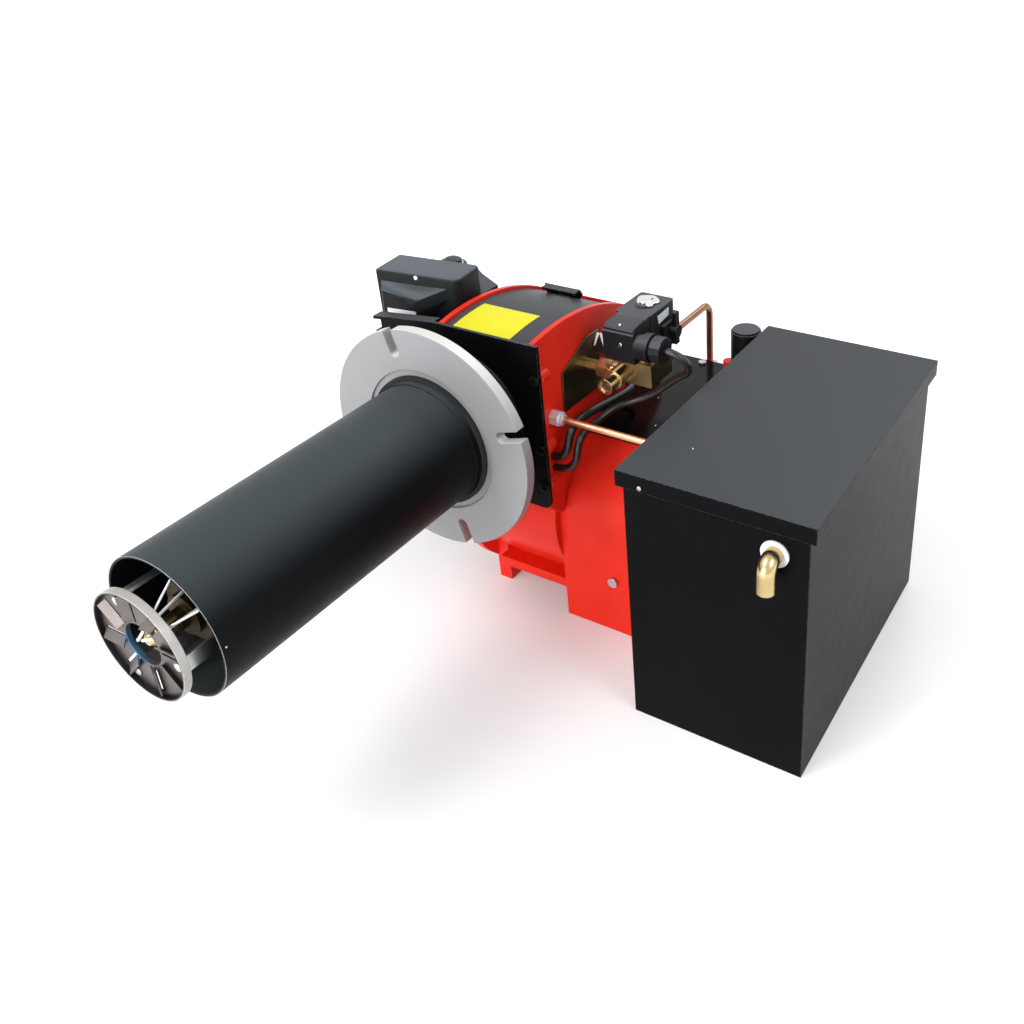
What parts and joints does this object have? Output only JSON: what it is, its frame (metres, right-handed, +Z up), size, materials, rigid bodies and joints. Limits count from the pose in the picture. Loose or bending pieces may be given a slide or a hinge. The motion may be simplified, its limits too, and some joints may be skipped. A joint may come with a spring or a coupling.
{
  "type": "waste oil burner",
  "caption": "Forced-draught waste oil burner with a blast tube, sliding boiler flange, fan housing, solenoid air valve and side-mounted float tank.",
  "frame": {"origin": "on the blast tube's axis, at the front face of the mounting flange", "axes": "+X to the right seen from the flame end, +Y from the flange back to the burner, +Z up"},
  "size_m": [0.5141, 0.5995, 0.335],
  "materials": {
    "tube_black": "satin black heat paint",
    "cast_aluminium": "fine cast, matt",
    "seal_rope": "graphited rope",
    "steel": "bright zinc plate",
    "dark_steel": "blackened",
    "sheet_black": "satin black powder coat",
    "gloss_black": "gloss black enamel",
    "red_paint": "gloss red enamel on a casting",
    "bronze_plate": "dark bronze passivated",
    "brass": "machined",
    "preheater": "heat-stained",
    "copper": "drawn copper tube",
    "diffuser_steel": "heat-tinted stainless steel",
    "ceramic": "glazed ceramic",
    "black_plastic": "moulded",
    "grey_plastic": "moulded, satin",
    "rubber": "smooth cable sheath",
    "lead_blue": "silicone lead",
    "chrome": "polished",
    "motor_paint": "semi-gloss black",
    "pump_iron": "machined",
    "washer_white": "white sealing washer",
    "float_plastic": "moulded float on a steel arm"
  },
  "bodies": {
    "burner": {"blast_tube": "tube_black", "front_plate": "sheet_black", "plate_screws": "dark_steel", "air_housing": "red_paint", "top_cover": "sheet_black", "cover_bracket": "sheet_black", "fitting_plate": "bronze_plate", "flame_sensor": "black_plastic", "side_casing": "red_paint", "casing_lid": "gloss_black", "casing_screws": "steel", "intake_grille": "sheet_black", "motor_shell": "motor_paint", "motor_end_cap": "black_plastic", "motor_bearings": "steel", "pump_body": "pump_iron", "pump_cover": "pump_iron", "electrics_shelf": "sheet_black", "ignition_transformer": "grey_plastic", "ignition_lead": "lead_blue", "control_box": "black_plastic", "button_bezel": "chrome", "solenoid_coil": "black_plastic", "din_plug": "black_plastic", "cable_gland": "black_plastic", "coil_clip": "chrome", "valve_body": "brass", "brass_tee": "brass", "air_pipe": "copper", "oil_pipe": "copper", "pipe_nuts": "steel", "valve_cable": "rubber", "cable_loom": "rubber", "capacitor": "black_plastic", "tank_body": "sheet_black", "tank_elbow": "brass", "elbow_washer": "washer_white", "float_pivot": "steel", "oil_heater": "steel"},
    "flange": {"mounting_flange": "cast_aluminium", "flange_seal": "seal_rope", "flange_screws": "steel"},
    "head": {"nozzle_pipe": "steel", "preheater_block": "preheater", "nozzle": "brass", "electrodes": "ceramic", "electrode_clamp": "steel", "diffuser_disc": "diffuser_steel", "disc_struts": "steel"},
    "rotor": {"motor_shaft": "steel", "fan_wheel": "steel", "shaft_coupling": "dark_steel", "drive_gear": "steel"},
    "pump_idler": {"driven_gear": "steel"},
    "damper": {"air_damper": "steel"},
    "button": {"reset_button": "black_plastic"},
    "plunger": {"valve_plunger": "steel"},
    "lever": {"valve_lever": "black_plastic"},
    "lid": {"tank_lid": "sheet_black"},
    "float": {"float_arm": "float_plastic"}
  },
  "joints": [
    {"name": "fan_spin", "type": "hinge", "parent": "burner", "child": "rotor", "pos_m": [0, 0.166, -0.1155], "axis": [1, 0, 0], "continuous": true},
    {"name": "pump_idler_spin", "type": "hinge", "parent": "burner", "child": "pump_idler", "pos_m": [0, 0.166, -0.1395], "axis": [1, 0, 0], "continuous": true},
    {"name": "flange_slide", "type": "slide", "parent": "burner", "child": "flange", "axis": [0, 1, 0], "range_m": [-0.02, 0.022]},
    {"name": "head_slide", "type": "slide", "parent": "burner", "child": "head", "axis": [0, 1, 0], "range_m": [0, 0.04]},
    {"name": "damper_tilt", "type": "hinge", "parent": "burner", "child": "damper", "pos_m": [0, 0.278, -0.0885], "axis": [-1, 0, 0], "range_deg": [0, 60]},
    {"name": "button_press", "type": "slide", "parent": "burner", "child": "button", "axis": [0, 0, -1], "range_m": [0, 0.004], "stiffness_N_per_m": 400, "springref_m": -0.003},
    {"name": "plunger_lift", "type": "slide", "parent": "burner", "child": "plunger", "axis": [0, 0, 1], "range_m": [0, 0.003], "stiffness_N_per_m": 500, "springref_m": -0.003},
    {"name": "lever_turn", "type": "hinge", "parent": "burner", "child": "lever", "pos_m": [0, 0.162, 0.07], "axis": [1, 0, 0], "range_deg": [0, 90]},
    {"name": "lid_lift", "type": "slide", "parent": "burner", "child": "lid", "axis": [0, 0, 1], "range_m": [0, 0.08]},
    {"name": "float_swing", "type": "hinge", "parent": "burner", "child": "float", "pos_m": [0.27875, 0.2655, -0.03], "axis": [-1, 0, 0], "range_deg": [0, 40]}
  ],
  "couplings": [
    {"joint": "pump_idler_spin", "follows": "fan_spin", "ratio": -1}
  ]
}
